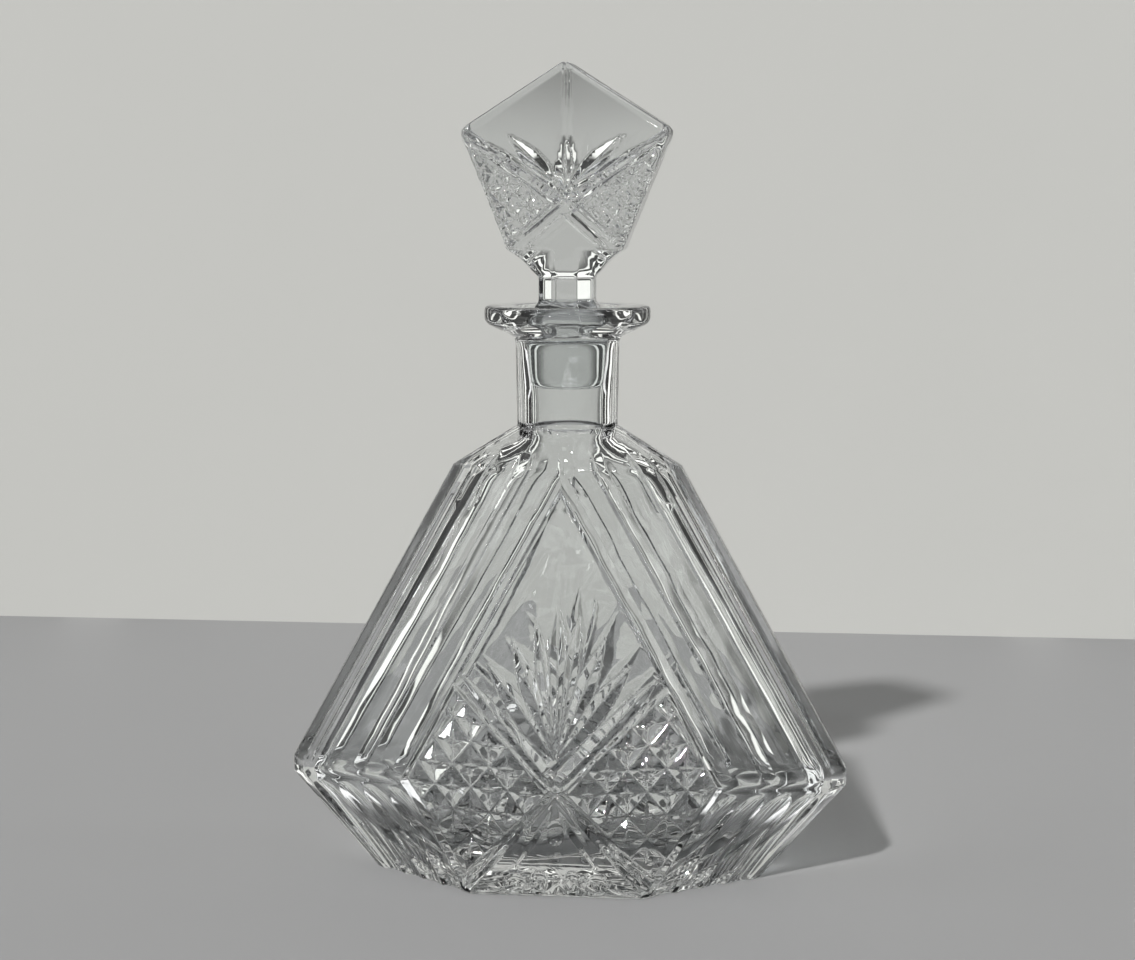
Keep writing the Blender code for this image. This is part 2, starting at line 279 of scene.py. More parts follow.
def band_relief(z, inset):
    """Depth of the grooves and panels above the belt. A groove's deepest line is near its far side."""
    bands = np.zeros(np.broadcast(inset, z).shape)
    for near, far in GROOVE_SIDES:
        u = np.clip((inset - near) / (far - near), 0, 1)
        flanks = np.minimum(u / GROOVE_TURN, (1 - u) / (1 - GROOVE_TURN))
        bands = np.maximum(bands, GROOVE_DEPTH * flanks + GROOVE_ROUNDING * arc(u))
    for near, far in PANEL_SIDES:
        bands = np.maximum(bands, PANEL_DEPTH * arc(np.clip((inset - near) / (far - near), 0, 1)))
    return bands * (ease(z, *BANDS_START) * (1 - ease(z, *BANDS_END)))


def lower_relief(z, inset, pitch):
    """Depth of the round flutes below the belt."""
    number = np.clip(np.floor(inset / pitch), 0, LOWER_FLUTES - 1)
    aside = 2 * (inset / pitch - number) - 1
    beyond = np.clip((z - LOWER_TOP) / LOWER_RUN_OUT, 0, None)
    return LOWER_DEPTH * np.clip(1 - aside**2 - beyond**2, 0, None) * (inset > 0)


def body_relief(x, z, inset, pitch):
    """Depth pressed into the pattern face. x is not negative, and inset is from the face's side edge."""
    cut = np.maximum(band_relief(z, inset), lower_relief(z, inset, pitch))
    for shape in BODY_CUTS:
        cut = np.maximum(cut, mitre_cut(x, z, *shape))
    for shape in OVALS:
        cut = np.maximum(cut, oval_print(x, z, *shape))
    return np.maximum(cut, diamond_field(x, z, *BODY_FIELD))


def softened(relief, x, z):
    """The relief averaged over a fraction of a millimetre, as pressing leaves no perfectly sharp edge."""
    spots = ((-1, -1), (1, -1), (-1, 1), (1, 1), (0, 0))
    return sum(relief(np.abs(x + SOFT_EDGE * i), z + SOFT_EDGE * j) for i, j in spots) / len(spots)


# The narrow side of the body: the angle at which the face meets it round the neck's foot, and its
# points along its three flats, close together at the two corners between them
EDGE_ANGLE = np.radians(78.0)
EDGE_PLACES = (0, 0.12, 0.5, 0.86, 0.97, 1.03, 1.14, 1.5, 1.86, 1.97, 2.03, 2.14, 2.5, 2.88, 3)
EDGE_CORNER_POINTS = [4, 5, 9, 10]
EDGE_CORNER_BLUNTING = 0.12


def body_front(share, z):
    """Points of the front face. share runs from -1 at the left edge to 1 at the right edge."""
    low_z = np.minimum(z, SHOULDER)
    half_width, _, _, bevel, _, _ = plan(low_z)
    reach = half_width - bevel
    x = across_face(np.abs(share), z, reach)
    pitch = LOWER_PITCH * between(LOWER_BASE_SHARE, 1.0, np.clip(z / BELT_LOW, 0, 1))
    relief = softened(lambda a, b: body_relief(a, b, np.clip(reach - a, 0, None), pitch), x, z)
    y = face_depth(x, low_z) - relief
    turn = x / reach * EDGE_ANGLE
    climb = neck_share(z)
    x = between(x, NECK_FOOT_RADIUS * np.sin(turn), climb)
    y = between(y, NECK_FOOT_RADIUS * np.cos(turn), climb)
    return np.stack([x * np.sign(share), -y, z + np.zeros_like(x)], axis=-1)


def body_edge(point):
    """The narrow side of the body, from a point on the front face's edge round to the back's."""
    z = point[2]
    half_width, _, _, bevel, edge_depth, flat = plan(min(z, SHOULDER))
    corners = np.array([
        (half_width - bevel, -edge_depth),
        (half_width, -flat),
        (half_width, flat),
        (half_width - bevel, edge_depth),
    ])
    line = np.array([[np.interp(p, range(4), corners[:, k]) for k in (0, 1)] for p in EDGE_PLACES])
    line[EDGE_CORNER_POINTS, 0] -= EDGE_CORNER_BLUNTING
    turn = np.linspace(EDGE_ANGLE, np.pi - EDGE_ANGLE, len(EDGE_PLACES))
    circle = NECK_FOOT_RADIUS * np.stack([np.sin(turn), -np.cos(turn)], axis=-1)
    return np.column_stack([between(line, circle, neck_share(z)), np.full(len(EDGE_PLACES), z)])


# ---------------------------------------------------------------- sheets and shells

CELL_CORNERS = ((0, 0), (1, 0), (1, 1), (0, 1))


def divided_cells(place, columns, rows, depth, tolerance):
    """Divides the cells of a sheet until each is nearly flat.

    place takes shares from -1 to 1 and heights, and rows lists the heights of the coarse rows.
    Returns the corner and size of each cell, and the share and height of a column and a row."""
    unit = 2**depth

    def share(column):
        return 2 * column / (columns * unit) - 1

    def height(row):
        return np.interp(row / unit, np.arange(len(rows)), rows)

    i, j = np.meshgrid(np.arange(columns) * unit, np.arange(len(rows) - 1) * unit, indexing="ij")
    cells = np.stack([i.ravel(), j.ravel()], axis=-1)
    fractions = np.linspace(0, 1, 5)
    a, b = fractions[None, :, None], fractions[None, None, :]
    done = []
    last_row = (len(rows) - 2) * unit
    for level in range(depth):
        size = unit >> level
        u = cells[:, 0, None, None] + size * a + 0 * b
        v = cells[:, 1, None, None] + size * b + 0 * a
        y = place(share(u), height(v))[..., 1]
        flat = (y[:, :1, :1] * (1 - a) * (1 - b) + y[:, -1:, :1] * a * (1 - b)
                + y[:, :1, -1:] * (1 - a) * b + y[:, -1:, -1:] * a * b)
        allowed = tolerance * (LAST_LEVEL_EASE if level == depth - 1 else 1)
        uneven = np.abs(y - flat).max(axis=(1, 2)) > allowed
        uneven &= cells[:, 1] < last_row
        done.append(np.column_stack([cells[~uneven], np.full((~uneven).sum(), size)]))
        parents = cells[uneven]
        half = size // 2
        quarters = np.array([(0, 0), (half, 0), (0, half), (half, half)])
        cells = (parents[:, None, :] + quarters[None]).reshape(-1, 2)
    done.append(np.column_stack([cells, np.full(len(cells), 1)]))
    return np.concatenate(done), share, height


class Shell:
    """A closed surface under construction: points, faces as tuples of point numbers, and exact normals."""

    def __init__(self):
        self.points = []
        self.faces = []
        self.normals = []
        self.count = 0

    def add(self, points):
        """Adds points and returns their numbers."""
        points = np.asarray(points, float).reshape(-1, 3)
        self.points.append(points)
        first = self.count
        self.count += len(points)
        return list(range(first, self.count))

    def ring(self, turn, radius, z):
        """Adds points round the upright axis, at angles from the front towards the right."""
        level = z + np.zeros_like(turn)
        return self.add(np.column_stack([radius * np.sin(turn), -radius * np.cos(turn), level]))

    def bridge(self, low, high):
        """Faces between two rings of equal length, facing out where high is above low."""
        count = len(low)
        for k in range(count):
            n = (k + 1) % count
            self.faces.append((low[k], low[n], high[n], high[k]))

    def strip(self, left, right):
        """Faces between two open rows of equal length."""
        for k in range(len(left) - 1):
            self.faces.append((left[k], right[k], right[k + 1], left[k + 1]))

    def fan(self, ring, centre, upwards):
        """Closes a ring with triangles round a new point at centre."""
        middle = self.add([centre])[0]
        for k in range(len(ring)):
            n = (k + 1) % len(ring)
            self.faces.append((ring[k], ring[n], middle) if upwards else (ring[n], ring[k], middle))

    def mesh(self, name):
        mesh = bpy.data.meshes.new(name)
        points = np.concatenate(self.points) * MM
        mesh.from_pydata(points.tolist(), [], self.faces)
        mesh.shade_smooth()
        normals = np.zeros(len(points) * 3, np.float32)
        mesh.vertex_normals.foreach_get("vector", normals)
        normals = normals.reshape(-1, 3)
        for numbers, exact in self.normals:
            normals[numbers] = exact
        mesh.normals_split_custom_set_from_vertices(normals.tolist())
        return mesh


def surface_normals(place, share, z):
    """Outward normals of a sheet, from points a hair apart."""
    right, left = np.minimum(share + NORMAL_STEP_ACROSS, 1.0), np.maximum(share - NORMAL_STEP_ACROSS, -1.0)
    across = place(right, z) - place(left, z)
    up = place(share, z + NORMAL_STEP_UP) - place(share, z - NORMAL_STEP_UP)
    normal = np.cross(across, up)
    return normal / np.linalg.norm(normal, axis=-1, keepdims=True)


def sheet(shell, place, columns, rows, depth, tolerance):
    """Adds the front sheet to shell. Returns its sides, bottom and top rows and all its faces."""
    cells, share, height = divided_cells(place, columns, rows, depth, tolerance)
    unit = 2**depth
    wide, tall = columns * unit + 1, (len(rows) - 1) * unit + 1
    used = np.zeros((wide, tall), bool)
    i, j, size = cells.T
    for a, b in CELL_CORNERS:
        used[i + a * size, j + b * size] = True
    number = np.full((wide, tall), -1)
    at_i, at_j = np.nonzero(used)
    number[at_i, at_j] = shell.add(place(share(at_i), height(at_j)))
    inner = (at_i > 0) & (at_i < wide - 1) & (at_j > 0) & (at_j < tall - 1)
    at_i, at_j = at_i[inner], at_j[inner]
    exact = [(number[at_i, at_j], surface_normals(place, share(at_i), height(at_j)))]
    middle_share, middle_height = share(i + size / 2), height(j + size / 2)
    middles = place(middle_share, middle_height)
    middle_normals = surface_normals(place, middle_share, middle_height)
    corner = [place(share(i + a * size), height(j + b * size))[:, 1] for a, b in CELL_CORNERS]
    rising = np.abs(middles[:, 1] - (corner[0] + corner[2]) / 2)
    falling = np.abs(middles[:, 1] - (corner[1] + corner[3]) / 2)
    faces = []
    for k in range(len(cells)):
        a, b, s = i[k], j[k], size[k]
        ring = [n for n in number[a:a + s, b] if n >= 0]
        ring += [n for n in number[a + s, b:b + s] if n >= 0]
        ring += [n for n in number[a + s:a:-1, b + s] if n >= 0]
        ring += [n for n in number[a, b + s:b:-1] if n >= 0]
        if len(ring) == 4:
            p, q, r, t = ring
            faces += [(p, q, r), (p, r, t)] if rising[k] < falling[k] else [(p, q, t), (q, r, t)]
        else:
            middle = shell.add([middles[k]])[0]
            exact.append(([middle], middle_normals[k:k + 1]))
            faces += [(ring[m], ring[(m + 1) % len(ring)], middle) for m in range(len(ring))]
    shell.faces += faces
    shell.normals += exact
    sides = {"left": number[0], "right": number[-1], "bottom": number[:, 0], "top": number[:, -1]}
    return {name: [int(n) for n in line if n >= 0] for name, line in sides.items()} | {"faces": faces}


def two_sided(shell, place, edge, columns, rows, depth, tolerance):
    """Adds a front sheet, its mirror image behind and the narrow sides between.

    Returns the bottom and top rings."""
    front = sheet(shell, place, columns, rows, depth, tolerance)
    points = np.concatenate(shell.points)
    shift = shell.count
    shell.add(points * (1, -1, 1))
    shell.normals += [(np.asarray(numbers) + shift, exact * (1, -1, 1)) for numbers, exact in shell.normals]
    shell.faces += [tuple(n + shift for n in reversed(face)) for face in front["faces"]]
    ends = {}
    for name, flip in (("right", 1), ("left", -1)):
        lines = []
        for n in front[name]:
            new = shell.add(edge(points[n])[1:-1] * (flip, 1, 1))
            lines.append([n] + new + [n + shift])
        for low, high in zip(lines, lines[1:]):
            if flip > 0:
                shell.strip(high, low)
            else:
                shell.strip(low, high)
        ends[name] = (lines[0], lines[-1])
    rings = []
    for end, row in enumerate((front["bottom"], front["top"])):
        back = [n + shift for n in reversed(row)]
        rings.append(row[:-1] + ends["right"][end][:-1] + back[:-1] + ends["left"][end][:0:-1])
    return rings


# ---------------------------------------------------------------- the decanter body

# Shrinking of the outline and height of each ring round the foot, out to the standing rim and in
FOOT_PROFILE = ((0.4, 0.18), (1.1, 0.0), (3.6, 0.0), (4.4, 0.35))
UNDERSIDE_RINGS = 14
UNDERSIDE_RAYS = 20
UNDERSIDE_RECESS = 0.35
UNDERSIDE_RISE = 0.25
UNDERSIDE_RAY_HEIGHT = 1.4

# Radius and height of each ring up the neck and over the lip, and then down the bore
NECK_PROFILE = (
    (16.1, 143.3), (15.85, 143.8), (15.8, 145.0), (15.95, 153.0), (16.1, 160.0), (16.25, 167.5),
    (16.35, 169.6), (16.6, 170.6), (17.2, 171.4), (18.2, 172.0),
    (21.0, 173.3), (23.9, 174.7), (24.9, 175.3), (25.5, 175.9), (25.9, 176.7), (26.0, 177.5),
    (26.0, 179.3), (25.9, 180.0), (25.6, 180.55), (25.1, 180.88), (24.5, 181.0),
    (20.0, 181.0), (16.6, 180.9), (15.7, 180.6), (15.0, 179.9), (14.4, 178.9), (13.95, 177.9),
)
BORE_PROFILE = (
    (13.8, 177.0), (13.4, 173.0), (12.9, 168.0), (12.4, 163.0), (11.9, 158.0), (11.6, 155.5),
    (11.3, 152.0), (11.2, 148.0), (11.2, 144.0),
)
BORE_ROOT_RADIUS = BORE_PROFILE[-1][0]
# The neck's points are evenly spread across its width up to this share of it
NECK_SPREAD = 0.985

# The wine space
WALL = 5.5
SIDE_WALL = 8.0
FLOOR = 9.0
FLOOR_DIP = 0.6
FLOOR_CURVE = 15.0
FLOOR_WAVES = 0.45
FLOOR_SWELL = 0.9
CAVITY_SHOULDER = 127.0
CAVITY_NARROWING = (126.5, 140.0)


def waviness(x, y, z):
    """The gentle unevenness of a pressed inner wall, in millimetres."""
    return (0.22 * np.sin(x * 0.21 + z * 0.09) * np.cos(z * 0.17 - x * 0.05)
            + 0.12 * np.sin(x * 0.43 - z * 0.29 + 1.3) + 0.06 * np.cos(z * 0.6 + y * 0.4 + x * 0.17))


def cavity_outline(turn, z, inset):
    """The wine space's outline at one height, one point for each angle in turn."""
    half_width = plan(z)[0] - SIDE_WALL - inset
    x = half_width * np.sin(turn)
    depth = face_depth(np.abs(x), np.full_like(x, z)) - WALL - inset
    closing = np.sqrt(np.clip(1 - np.abs(np.sin(turn)) ** 6, 0, 1))
    y = -depth * closing * np.sign(np.cos(turn))
    return x, y + waviness(x, y, z) * closing * np.sign(y)


def add_underside(shell, foot):
    """Closes the body below, with a rounded foot, a standing rim and shallow rays in the recess."""
    points = np.concatenate(shell.points)[foot]
    foot_turn = np.unwrap(np.arctan2(points[:, 0], -points[:, 1]))
    foot_length = np.hypot(points[:, 0], points[:, 1])
    even_turn = foot_turn[0] + np.arange(len(foot)) * 2 * np.pi / len(foot)
    last = foot
    for shrink, z in FOOT_PROFILE:
        scale = 1 - shrink / foot_length
        ring = shell.add(np.column_stack([points[:, :2] * scale[:, None], np.full(len(foot), z)]))
        shell.bridge(ring, last)
        last = ring
    for step in range(1, UNDERSIDE_RINGS):
        share = step / UNDERSIDE_RINGS
        turn = between(foot_turn, even_turn, ease(np.float64(share), 0.0, 0.5))
        length = np.interp(turn, foot_turn, foot_length, period=2 * np.pi) - FOOT_PROFILE[-1][0]
        ray = np.abs((turn * UNDERSIDE_RAYS / (2 * np.pi)) % 1 - 0.5) * 2
        fading = np.clip(3 * share, 0, 1) * (1 - share) ** 0.5
        z = UNDERSIDE_RECESS + UNDERSIDE_RISE * share + UNDERSIDE_RAY_HEIGHT * ray * fading
        ring = shell.ring(turn, length * (1 - share), z)
        shell.bridge(ring, last)
        last = ring
    shell.fan(last, (0, 0, UNDERSIDE_RECESS + UNDERSIDE_RISE), upwards=False)


def add_neck(shell, top):
    """Carries the body on up the neck, over the lip and down the bore.

    Returns the last ring and its angles."""
    points = np.concatenate(shell.points)[top]
    first_turn = np.unwrap(np.arctan2(points[:, 0], -points[:, 1]))
    face_turn = np.arcsin(NECK_SPREAD * np.linspace(-1, 1, BODY_COLUMNS + 1))
    side_turn = np.linspace(face_turn[-1], np.pi - face_turn[-1], len(EDGE_PLACES))
    half_turn = np.concatenate([face_turn[:-1], side_turn[:-1]])
    even_turn = np.concatenate([half_turn, np.pi + half_turn])
    last = top
    profile = NECK_PROFILE + BORE_PROFILE
    for step, (radius, z) in enumerate(profile):
        turn = between(first_turn, even_turn, (step + 1) / len(profile))
        ring = shell.ring(turn, radius, z)
        shell.bridge(last, ring)
        last = ring
    return last, turn


def add_wine_space(shell, last, turn):
    """Widens the bore into the wine space and closes it with a bowl-shaped floor."""
    neck_x, neck_y = BORE_ROOT_RADIUS * np.sin(turn), -BORE_ROOT_RADIUS * np.cos(turn)
    levels = np.concatenate([
        np.linspace(139, 128, 9),
        np.linspace(126, BELT_HIGH, 30),
        np.linspace(BELT_HIGH - 1, FLOOR, 22),
    ])
    for z in levels:
        bowl = np.clip((FLOOR_CURVE - (z - FLOOR)) / FLOOR_CURVE, 0, 1)
        waves = np.sin(9 * turn + 0.6) + np.sin(14 * turn + 0.05 * z) + np.sin(23 * turn)
        inset = FLOOR_CURVE * (1 - np.sqrt(np.clip(1 - bowl**2, 0, 1))) + FLOOR_WAVES * np.sqrt(bowl) * waves
        x, y = cavity_outline(turn, min(z, CAVITY_SHOULDER), inset)
        share = ease(np.float64(z), *CAVITY_NARROWING)
        x, y = between(x, neck_x, share), between(y, neck_y, share)
        swell = FLOOR_SWELL * bowl * np.sin(5 * turn + 0.4)
        ring = shell.add(np.column_stack([x, y, z + swell]))
        shell.bridge(last, ring)
        last = ring
    for scale in (0.85, 0.65, 0.45, 0.25, 0.1):
        floor = FLOOR - FLOOR_DIP * (1 - scale) + swell * scale**2
        ring = shell.add(np.column_stack([x * scale, y * scale, floor]))
        shell.bridge(last, ring)
        last = ring
    shell.fan(last, (0, 0, FLOOR - FLOOR_DIP), upwards=True)


def build_body():
    shell = Shell()
    # Rows stand close together at the belt and the shoulder
    rows = np.concatenate([
        np.linspace(FOOT_ROUNDING, BELT_LOW - 0.7, 14),
        [BELT_LOW, BELT_LOW + 0.8, (BELT_LOW + BELT_HIGH) / 2, BELT_HIGH - 0.8, BELT_HIGH],
        np.linspace(BELT_HIGH + 0.8, SHOULDER - 0.7, 38),
        [SHOULDER, SHOULDER + 0.7],
        np.linspace(SHOULDER + 2.0, NECK_FOOT, 7),
    ])
    foot, top = two_sided(shell, body_front, body_edge, BODY_COLUMNS, rows, depth=3, tolerance=0.065)
    add_underside(shell, foot)
    last, turn = add_neck(shell, top)
    add_wine_space(shell, last, turn)
    return shell.mesh("decanter_glass")


# ---------------------------------------------------------------- the stopper

# Heights are above the plug's end, and lengths across are from the middle
HEAD_FOOT = 43.0
HEAD_FOOT_HALF_WIDTH = 18.0
HEAD_CORNER = 80.0
HEAD_CORNER_HALF_WIDTH = 33.0
HEAD_CORNER_RADIUS = 2.2
HEAD_TOP = 101.0
HEAD_TOP_RADIUS = 3.0
HEAD_HALF_DEPTH = 10.0
HEAD_BEVEL = 1.9
FACETS = 8
COLLAR_START = 27.0
COLLAR_END = 34.0
COLLAR_RADIUS = 9.4
COLLAR_FLARE = 1.4
CHAMFER_START = 19.2
CHAMFER_RADIUS = 14.6
PLUG_TOP = 20.5
PLUG_TOP_RADIUS = 13.5
PLUG_BOTTOM_RADIUS = 11.3
# Radius and height of each ring round the plug's rounded end
PLUG_END = ((11.25, 1.0), (11.0, 0.5), (10.5, 0.15), (9.9, 0.0), (7.0, 0.05), (4.0, 0.15), (1.5, 0.2))


def head_outline():
    """The right side of the head's outline from the foot to the top, inset by the bevel and at full size."""
    corners = [
        np.array((HEAD_FOOT_HALF_WIDTH, HEAD_FOOT)),
        np.array((HEAD_CORNER_HALF_WIDTH, HEAD_CORNER)),
        np.array((0.0, HEAD_TOP)),
        np.array((-HEAD_CORNER_HALF_WIDTH, HEAD_CORNER)),
    ]
    normals = []
    for a, b in zip(corners, corners[1:]):
        along = (b - a) / np.linalg.norm(b - a)
        normals.append(np.array((along[1], -along[0])))
    inner = [corners[0] - (HEAD_BEVEL / normals[0][0], 0)]
    outer = [corners[0]]
    radii = (HEAD_CORNER_RADIUS, HEAD_TOP_RADIUS)
    for corner, before, after, radius in zip(corners[1:], normals, normals[1:], radii):
        middle = (before + after) / np.linalg.norm(before + after)
        centre = corner - middle * radius / (middle @ before)
        start = np.arctan2(before[1], before[0])
        end = np.arctan2(after[1], after[0])
        for angle in np.linspace(start, end, 15):
            if angle > np.pi / 2:
                break
            out = np.array((np.cos(angle), np.sin(angle)))
            inner.append(centre + out * (radius - HEAD_BEVEL))
            outer.append(centre + out * radius)
    return np.array(inner), np.array(outer)


HEAD_INNER, HEAD_OUTER = head_outline()

# The two upper facets lean in towards the sides and the top, above a line from the crossing
HEAD_CROSSING = (0.0, 59.0)
FACET_LINE_SLOPE = 0.66
FACET_TILT = 3.0
FACET_LEAN = 0.035
FACET_LEAN_START = 62.0
# V cuts in their order, each as start, end, half-width, slope, blunt and fullness, and then how much of
# the depth that is there already they add to their own
HEAD_CUTS = (
    (HEAD_CROSSING, (33.5, 81.5), 2.4, 0.85, 0.12, 0.97, 0.5),
    ((1.2, 62.0), (18.5, 79.0), 2.9, 0.8, 0.5, 0.6, 0.9),
    ((0.0, 60.0), (0.0, 80.0), 3.4, 0.7, 0.45, 0.6, 0.0),
    ((-0.5, 59.5), (19.5, 42.5), 1.7, 0.8, 0.08, 0.97, 0.0),
    ((0.0, 100.0), (0.0, 74.0), 0.9, 0.5, 0.02, 0.9, 0.9),
    ((-0.5, 54.0), (14.0, 41.5), 1.2, 0.7, 0.06, 0.95, 0.0),
)
# The field of diamonds, as corners, a crossing of its cuts, half a cell, depth, rim and minor
HEAD_FIELD = ([(4.0, 57.2), (18.0, 45.3), (30.6, 75.6)], (18.5, 56.0), (3.1, 3.4), 1.6, 2.0, 0.7)


def head_relief(x, z):
    """Depth pressed into the head's face. x is not negative."""
    lean = FACET_TILT * x / HEAD_CORNER_HALF_WIDTH + FACET_LEAN * np.clip(z - FACET_LEAN_START, 0, None)
    cut = lean * ease(z - HEAD_CROSSING[1] - FACET_LINE_SLOPE * x, -1.0, 0.5)
    for *shape, added in HEAD_CUTS:
        cut = np.maximum(cut, mitre_cut(x, z, *shape) + added * cut)
    return np.maximum(cut, diamond_field(x, z, *HEAD_FIELD))


def head_front(share, z):
    """Points of the head's front face. share runs from -1 at the left edge to 1 at the right edge."""
    x = np.abs(share) * np.interp(z, HEAD_INNER[:, 1], HEAD_INNER[:, 0])
    y = HEAD_HALF_DEPTH - softened(head_relief, x, z)
    return np.stack([x * np.sign(share), -y, z + np.zeros_like(x)], axis=-1)


def head_edge(point):
    """The rim of the head, from a point on the front face's edge round to the back's."""
    x, y, z = abs(point[0]), point[1], point[2]
    full_x, full_z = (np.interp(z, HEAD_INNER[:, 1], HEAD_OUTER[:, k]) for k in (0, 1))
    bend = [(np.sin(a), HEAD_BEVEL * (1 - np.cos(a))) for a in np.radians((0, 22, 45, 68, 90))]
    flats = np.linspace(HEAD_BEVEL, -2 * y - HEAD_BEVEL, 8)[1:-1]
    steps = bend + [(1.0, depth) for depth in flats] + [(s, -2 * y - d) for s, d in reversed(bend)]
    return np.array([(between(x, full_x, s), y + depth, between(z, full_z, s)) for s, depth in steps])


def octagon(turn, radius):
    """Radius of a regular octagon with a flat side to the front at the given angles."""
    part = 2 * np.pi / FACETS
    aside = (turn + part / 2) % part - part / 2
    return radius * np.cos(part / 2) / np.cos(aside)


def snapped(turn):
    """The angles with the nearest one to each of the octagon's corners moved onto it."""
    turn = turn.copy()
    for corner in range(FACETS):
        target = 2 * np.pi * (corner + 0.5) / FACETS
        gap = (turn - target + np.pi) % (2 * np.pi) - np.pi
        nearest = np.argmin(np.abs(gap))
        turn[nearest] -= gap[nearest]
    return turn


def shank_radius(turn, z):
    """Radius below the head: an eight-sided neck with a flared end, and a chamfered round plug."""
    neck = octagon(turn, COLLAR_RADIUS + COLLAR_FLARE * ease(z, COLLAR_END, COLLAR_END + 3))
    if z >= COLLAR_START + 1:
        return neck
    plug = np.interp(z, (0, PLUG_TOP), (PLUG_BOTTOM_RADIUS, PLUG_TOP_RADIUS))
    chamfer = octagon(turn, np.interp(z, (CHAMFER_START, COLLAR_START), (CHAMFER_RADIUS, COLLAR_RADIUS)))
    return np.minimum(plug, np.maximum(neck, chamfer))


def build_stopper():
    shell = Shell()
    # Rows crowd towards the top, where the sides run in quickly
    rows = np.concatenate([
        np.linspace(HEAD_FOOT, 76.0, 34),
        np.linspace(76.0, HEAD_INNER[-1, 1] - 1.5, 24)[1:],
        HEAD_INNER[-1, 1] - np.array((1.0, 0.6, 0.3, 0.12, 0.03)),
    ])
    foot, top = two_sided(shell, head_front, head_edge, columns=32, rows=rows, depth=2, tolerance=0.03)
    shell.fan(top, (0, 0, HEAD_OUTER[-1, 1]), upwards=True)
    start = np.concatenate(shell.points)[foot]
    turn = snapped(np.arctan2(start[:, 0], -start[:, 1]))
    last = foot
    levels = np.concatenate([
        np.linspace(42.6, 34.5, 19),
        np.linspace(34, 28, 7),
        np.linspace(27.4, 19.0, 22),
        np.linspace(18, 1.6, 12),
    ])
    for z in levels:
        widening = np.clip((z - COLLAR_END) / (HEAD_FOOT - COLLAR_END), 0, 1)
        radius = shank_radius(turn, z)
        outline = np.column_stack([radius * np.sin(turn), -radius * np.cos(turn)])
        outline = between(outline, start[:, :2], widening**1.8)
        ring = shell.add(np.column_stack([outline, np.full(len(outline), z)]))
        shell.bridge(ring, last)
        last = ring
    for radius, z in PLUG_END:
        ring = shell.ring(turn, radius, z)
        shell.bridge(ring, last)
        last = ring
    shell.fan(last, (0, 0, PLUG_END[-1][1]), upwards=False)
    for block in shell.points:
        block[:, 2] += STOPPER_SEAT
    return shell.mesh("stopper_glass")


# ---------------------------------------------------------------- nodes

def feed(tree, socket, value):
    """Links another node's output to the socket, or sets the socket to a number or colour."""
    if isinstance(value, bpy.types.NodeSocket):
        tree.links.new(value, socket)
    else:
        socket.default_value = value


def node(tree, kind, **inputs):
    made = tree.nodes.new(kind)
    for name, value in inputs.items():
        feed(tree, made.inputs[name.replace("_", " ")], value)
    return made


def calculated(tree, operation, *values):
    """The result of a math node."""
    made = tree.nodes.new("ShaderNodeMath")
    made.operation = operation
    for socket, value in zip(made.inputs, values):
        feed(tree, socket, value)
    return made.outputs["Value"]


def scaled(tree, colour, share):
    """The colour times share."""
    made = tree.nodes.new("ShaderNodeVectorMath")
    made.operation = "SCALE"
    feed(tree, made.inputs[0], colour)
    feed(tree, made.inputs["Scale"], share)
    return made.outputs["Vector"]


def ramp(tree, factor, stops):
    """The colour of a ramp with stops of (position, colour)."""
    made = node(tree, "ShaderNodeValToRGB", Fac=factor)
    elements = made.color_ramp.elements
    elements[0].position = stops[0][0]
    elements[1].position = stops[-1][0]
    for position, _ in stops[1:-1]:
        elements.new(position)
    for element, (_, colour) in zip(elements, stops):
        element.color = (*colour, 1)
    return made.outputs["Color"]


def clear_where(tree, where, shader, colour):
    """The shader, or a clear surface of the given colour where the socket is 1."""
    clear = node(tree, "ShaderNodeBsdfTransparent", Color=(*colour, 1))
    mix = tree.nodes.new("ShaderNodeMixShader")
    for socket, value in zip(mix.inputs, (where, shader.outputs["BSDF"], clear.outputs["BSDF"])):
        feed(tree, socket, value)
    return mix.outputs["Shader"]


# ---------------------------------------------------------------- glass

GLASS_IOR = 1.52
MOST_ROUGHNESS = 0.025
WAVE_HEIGHT = 0.0002
SHADOW_COLOUR = (0.26, 0.27, 0.27)


def glass(name, tint, seed):
    """Clear pressed glass: a faint tint, slightly uneven polish and soft waves left by the mould."""
    material = bpy.data.materials.new(name)
    material.use_nodes = True
    tree = material.node_tree
    tree.nodes.clear()
    place = tree.nodes.new("ShaderNodeTexCoord").outputs["Object"]

    polish = node(tree, "ShaderNodeTexNoise", Vector=place, Scale=38.0 + seed, Detail=5.0, Roughness=0.6)
    rough = node(tree, "ShaderNodeMapRange", Value=polish.outputs["Fac"], From_Min=0.35, From_Max=0.75,
                 To_Min=0.0, To_Max=MOST_ROUGHNESS)

    shade = node(tree, "ShaderNodeTexNoise", Vector=place, Scale=9.0 + seed, Detail=2.0)
    paler = [0.35 + 0.65 * c for c in tint]
    colour = ramp(tree, shade.outputs["Fac"], ((0.3, tint), (0.7, paler)))

    waves = node(tree, "ShaderNodeTexNoise", Vector=place, Scale=70.0, Detail=1.0)
    bump = node(tree, "ShaderNodeBump", Height=waves.outputs["Fac"], Strength=0.35, Distance=WAVE_HEIGHT)

    shader = node(tree, "ShaderNodeBsdfPrincipled", Base_Color=colour, Roughness=rough.outputs["Result"],
                  IOR=GLASS_IOR, Transmission_Weight=1.0, Normal=bump.outputs["Normal"])
    rays = tree.nodes.new("ShaderNodeLightPath")
    surface = clear_where(tree, rays.outputs["Is Shadow Ray"], shader, SHADOW_COLOUR)
    node(tree, "ShaderNodeOutputMaterial", Surface=surface)
    return material


def add_object(name, data):
    obj = bpy.data.objects.new(name, data)
    bpy.context.scene.collection.objects.link(obj)
    return obj


